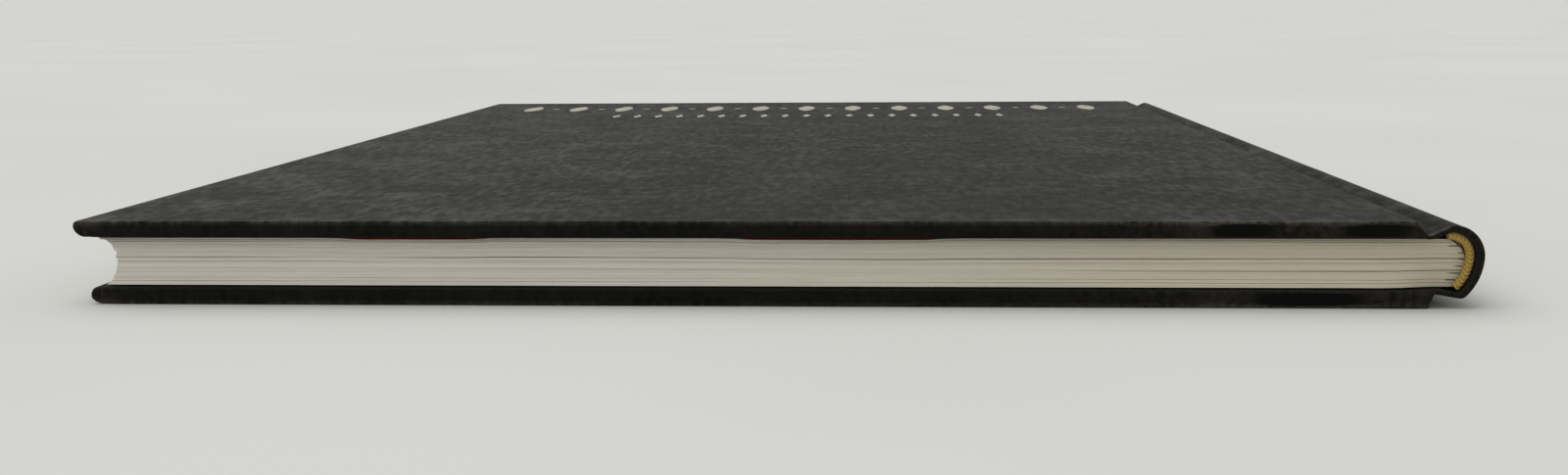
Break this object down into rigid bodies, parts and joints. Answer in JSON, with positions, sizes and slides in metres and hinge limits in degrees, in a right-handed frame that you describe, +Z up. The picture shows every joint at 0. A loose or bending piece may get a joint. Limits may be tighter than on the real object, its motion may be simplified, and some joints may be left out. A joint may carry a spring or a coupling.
{
  "type": "hardcover book",
  "caption": "Large thin cloth-bound hardcover book lying closed, with a rounded spine, French grooves, headbands and covers that swing open.",
  "frame": {"origin": "middle of the bottom of the bounding box, on the back cover's outer face", "axes": "+X from the fore-edge to the spine, +Y from head to tail, +Z up through the front cover"},
  "size_m": [0.2422, 0.305, 0.0149],
  "materials": {
    "page_paper": "matt cream leaf edges",
    "endpaper_red": "matt dyed paper",
    "mull_gauze": "open weave, starched",
    "lining_paper": "plain kraft",
    "band_thread": "woven silk-like thread",
    "greyboard": "pressed grey board",
    "book_cloth": "fine black weave, worn at the edges"
  },
  "bodies": {
    "book_block": {"text_block": "page_paper", "front_flyleaf": "endpaper_red", "back_flyleaf": "endpaper_red", "spine_mull": "mull_gauze", "spine_lining": "lining_paper", "headband": "band_thread", "tailband": "band_thread", "spine_inlay": "greyboard", "spine_cloth": "book_cloth"},
    "front_cover": {"front_board": "greyboard", "front_cover_cloth": "book_cloth", "front_mull_flap": "mull_gauze", "front_pastedown": "endpaper_red"},
    "back_cover": {"back_board": "greyboard", "back_cover_cloth": "book_cloth", "back_mull_flap": "mull_gauze", "back_pastedown": "endpaper_red"}
  },
  "joints": [
    {"name": "front_cover_hinge", "type": "hinge", "parent": "book_block", "child": "front_cover", "pos_m": [0.1158, 0, 0.01197], "axis": [0, 1, 0], "range_deg": [0, 180]},
    {"name": "back_cover_hinge", "type": "hinge", "parent": "book_block", "child": "back_cover", "pos_m": [0.117, 0, 0.00295], "axis": [0, -1, 0], "range_deg": [0, 180]}
  ]
}
